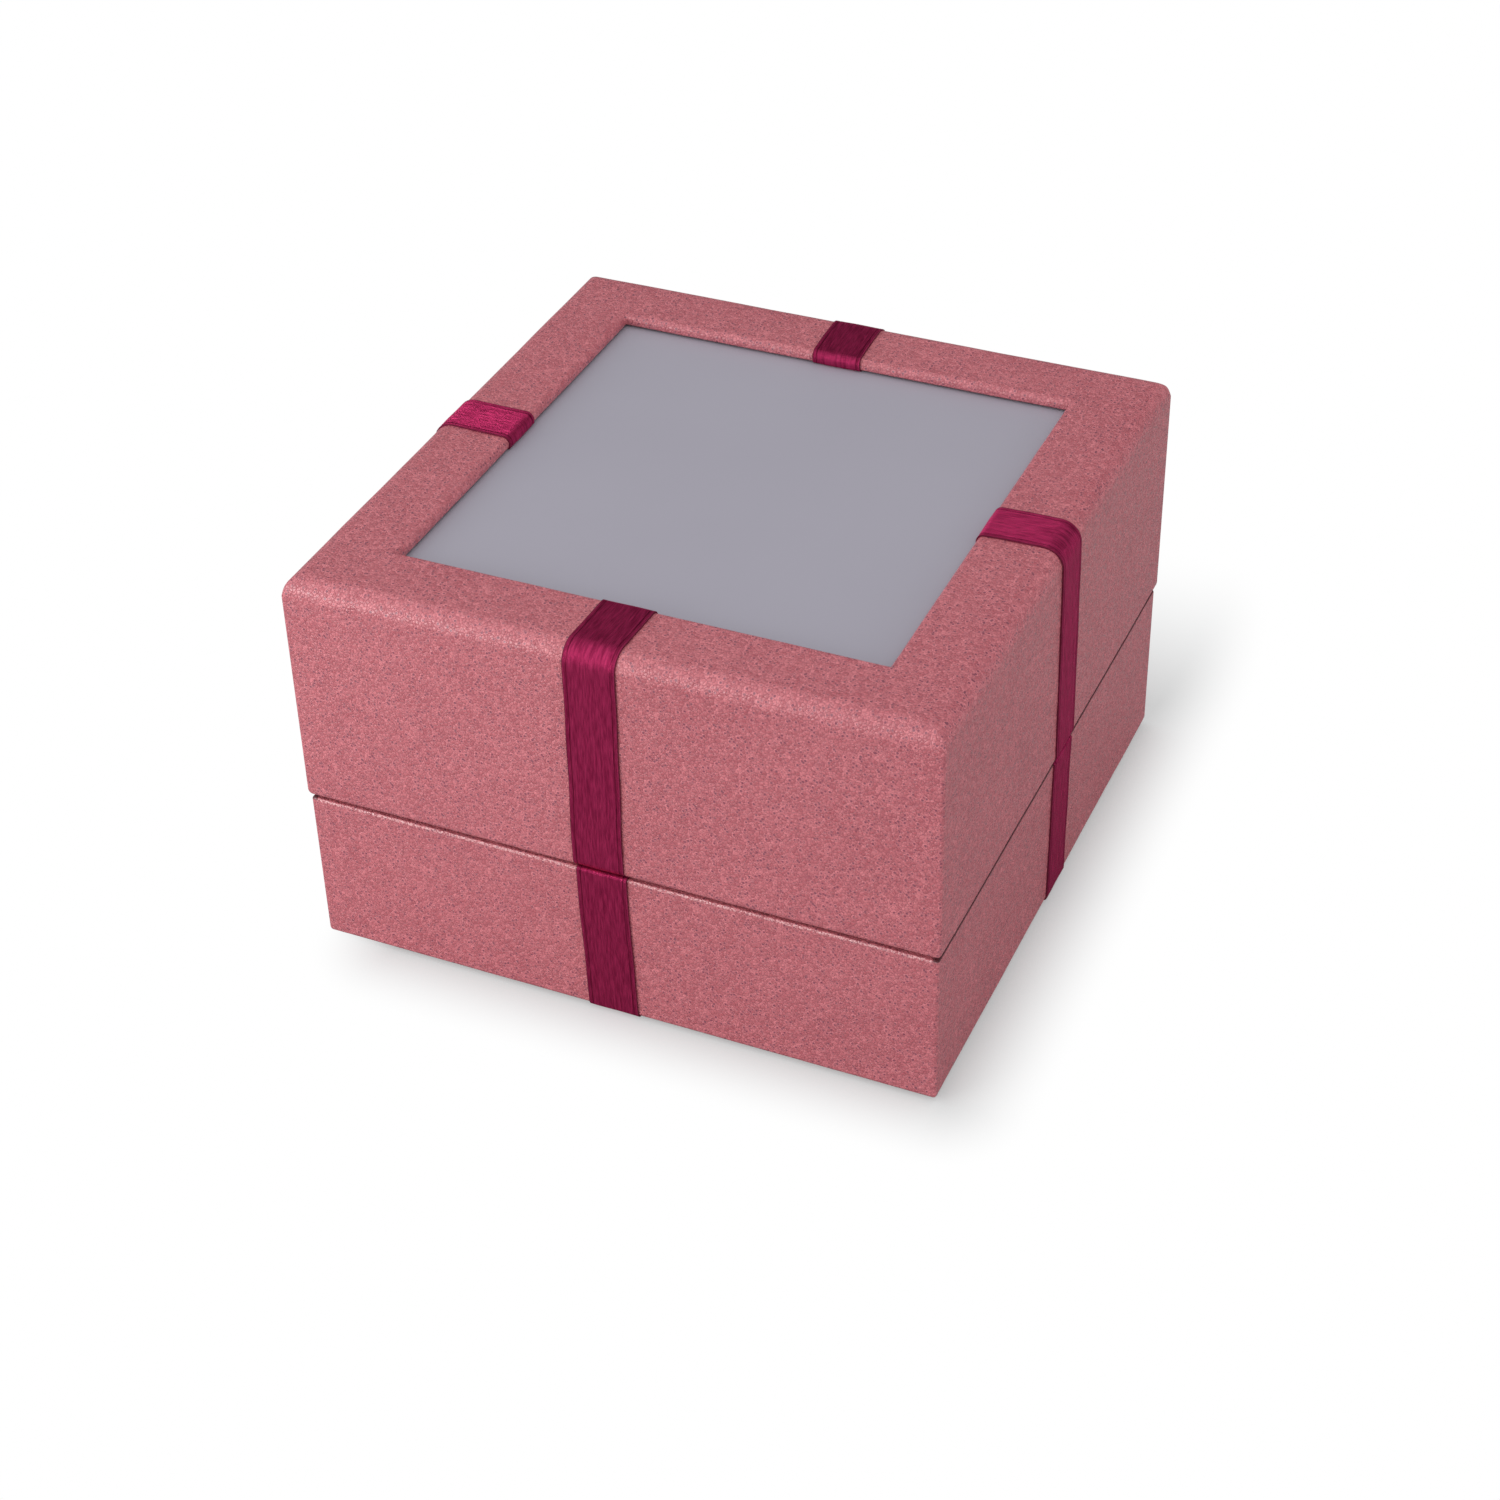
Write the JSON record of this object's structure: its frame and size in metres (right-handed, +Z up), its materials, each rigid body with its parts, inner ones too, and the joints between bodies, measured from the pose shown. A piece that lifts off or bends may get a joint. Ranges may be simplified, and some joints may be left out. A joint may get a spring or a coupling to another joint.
{
  "type": "gift box",
  "caption": "Square rigid gift box covered in leatherette, with a lift-off lid that has a panel in a framed window, and satin ribbon down the middle of each side.",
  "frame": {"origin": "middle of the underside, on the surface that the box stands on", "axes": "+Z up, the way the lid lifts; -Y towards the front; +X to the right seen from the front"},
  "size_m": [0.1508, 0.1508, 0.0984],
  "materials": {
    "leatherette": "rose leatherette paper with a fine pebble grain and a faint pearl sheen",
    "satin_ribbon": "burgundy satin ribbon with woven selvedges",
    "panel_grey": "plain satin lavender grey",
    "lining_paper": "card faced with ivory lining paper",
    "fibre_board": "raw fibre board",
    "grey_card": "grey board",
    "felt": "thin burgundy felt"
  },
  "bodies": {
    "base": {"base_wall_front": "fibre_board", "base_wall_back": "fibre_board", "base_wall_left": "fibre_board", "base_wall_right": "fibre_board", "base_board": "fibre_board", "base_wrap": "leatherette", "neck_front": "lining_paper", "neck_back": "lining_paper", "neck_left": "lining_paper", "neck_right": "lining_paper", "floor_liner": "lining_paper", "base_ribbon_front": "satin_ribbon", "base_ribbon_back": "satin_ribbon", "base_ribbon_left": "satin_ribbon", "base_ribbon_right": "satin_ribbon", "base_filler": "grey_card", "base_pad": "felt"},
    "lid": {"lid_rail_front": "fibre_board", "lid_rail_back": "fibre_board", "lid_rail_left": "fibre_board", "lid_rail_right": "fibre_board", "lid_wall_front": "fibre_board", "lid_wall_back": "fibre_board", "lid_wall_left": "fibre_board", "lid_wall_right": "fibre_board", "lid_wrap": "leatherette", "lid_lining": "lining_paper", "display_panel": "panel_grey", "panel_backing": "lining_paper", "lid_ribbon_front": "satin_ribbon", "lid_ribbon_back": "satin_ribbon", "lid_ribbon_left": "satin_ribbon", "lid_ribbon_right": "satin_ribbon"}
  },
  "joints": [
    {"name": "lid_lift", "type": "slide", "parent": "base", "child": "lid", "axis": [0, 0, 1], "range_m": [0, 0.1]}
  ]
}
